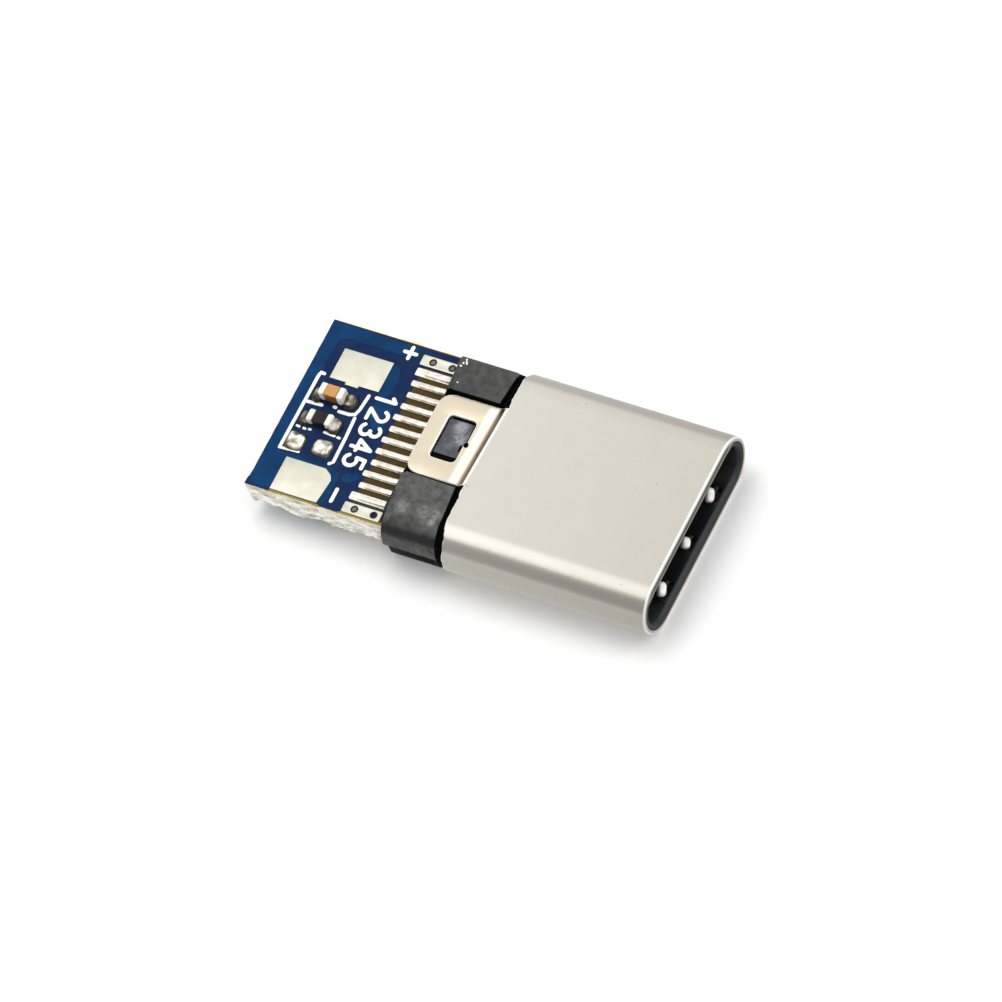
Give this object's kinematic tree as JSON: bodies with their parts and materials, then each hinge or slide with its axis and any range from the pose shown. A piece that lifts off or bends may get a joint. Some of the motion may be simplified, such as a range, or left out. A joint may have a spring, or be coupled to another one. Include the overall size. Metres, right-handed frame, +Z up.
{
  "type": "usb-c plug",
  "caption": "Flat-oval USB-C plug with a steel shell and latched black housings, on a small solder board with supply pads.",
  "frame": {"origin": "on the surface the plug lies on, under the middle of its whole length and width", "axes": "+X out of the mouth, along the plug's length; +Y across it; +Z up, out of the face with the components"},
  "size_m": [0.0168, 0.0082, 0.0024],
  "materials": {
    "steel": "drawn stainless shell, satin, warm grey",
    "spring_steel": "spring steel, bright",
    "black_plastic": "black glass-filled moulding, matt, scuffed",
    "tinned_contact": "tinned copper alloy, bright",
    "levelled_solder": "hot-air levelled solder on copper, satin",
    "bright_solder": "reflowed solder, bright",
    "board_mask": "blue solder mask over glass-epoxy laminate",
    "capacitor_ceramic": "tan ceramic, satin",
    "resistor_glaze": "black overglaze"
  },
  "bodies": {
    "root": {"shell": "steel", "front_housing": "black_plastic", "rear_housing": "black_plastic", "latch": "spring_steel", "grounding_spring_upper": "spring_steel", "grounding_spring_lower": "spring_steel", "circuit_board": "board_mask", "supply_pad_positive": "levelled_solder", "supply_pad_negative": "levelled_solder", "capacitor_body": "capacitor_ceramic", "resistor_body": "resistor_glaze", "contact_upper_01": "tinned_contact", "contact_upper_02": "tinned_contact", "contact_upper_03": "tinned_contact", "contact_upper_04": "tinned_contact", "contact_upper_05": "tinned_contact", "contact_upper_06": "tinned_contact", "contact_upper_07": "tinned_contact", "contact_upper_08": "tinned_contact", "contact_upper_09": "tinned_contact", "contact_upper_10": "tinned_contact", "contact_upper_11": "tinned_contact", "contact_upper_12": "tinned_contact", "contact_lower_01": "tinned_contact", "contact_lower_02": "tinned_contact", "contact_lower_03": "tinned_contact", "contact_lower_04": "tinned_contact", "contact_lower_05": "tinned_contact", "contact_lower_06": "tinned_contact", "contact_lower_07": "tinned_contact", "contact_lower_08": "tinned_contact", "contact_lower_09": "tinned_contact", "contact_lower_10": "tinned_contact", "contact_lower_11": "tinned_contact", "contact_lower_12": "tinned_contact", "ground_pad_upper_far": "levelled_solder", "ground_pad_upper_near": "levelled_solder", "ground_pad_lower_far": "levelled_solder", "ground_pad_lower_near": "levelled_solder", "capacitor_end_rear": "tinned_contact", "capacitor_end_front": "tinned_contact", "resistor_end_rear": "tinned_contact", "resistor_end_front": "tinned_contact", "solder_capacitor_rear": "bright_solder", "solder_capacitor_front": "bright_solder", "solder_resistor_rear": "bright_solder", "solder_resistor_front": "bright_solder", "solder_empty_rear": "bright_solder", "solder_empty_front": "bright_solder"}
  },
  "joints": []
}
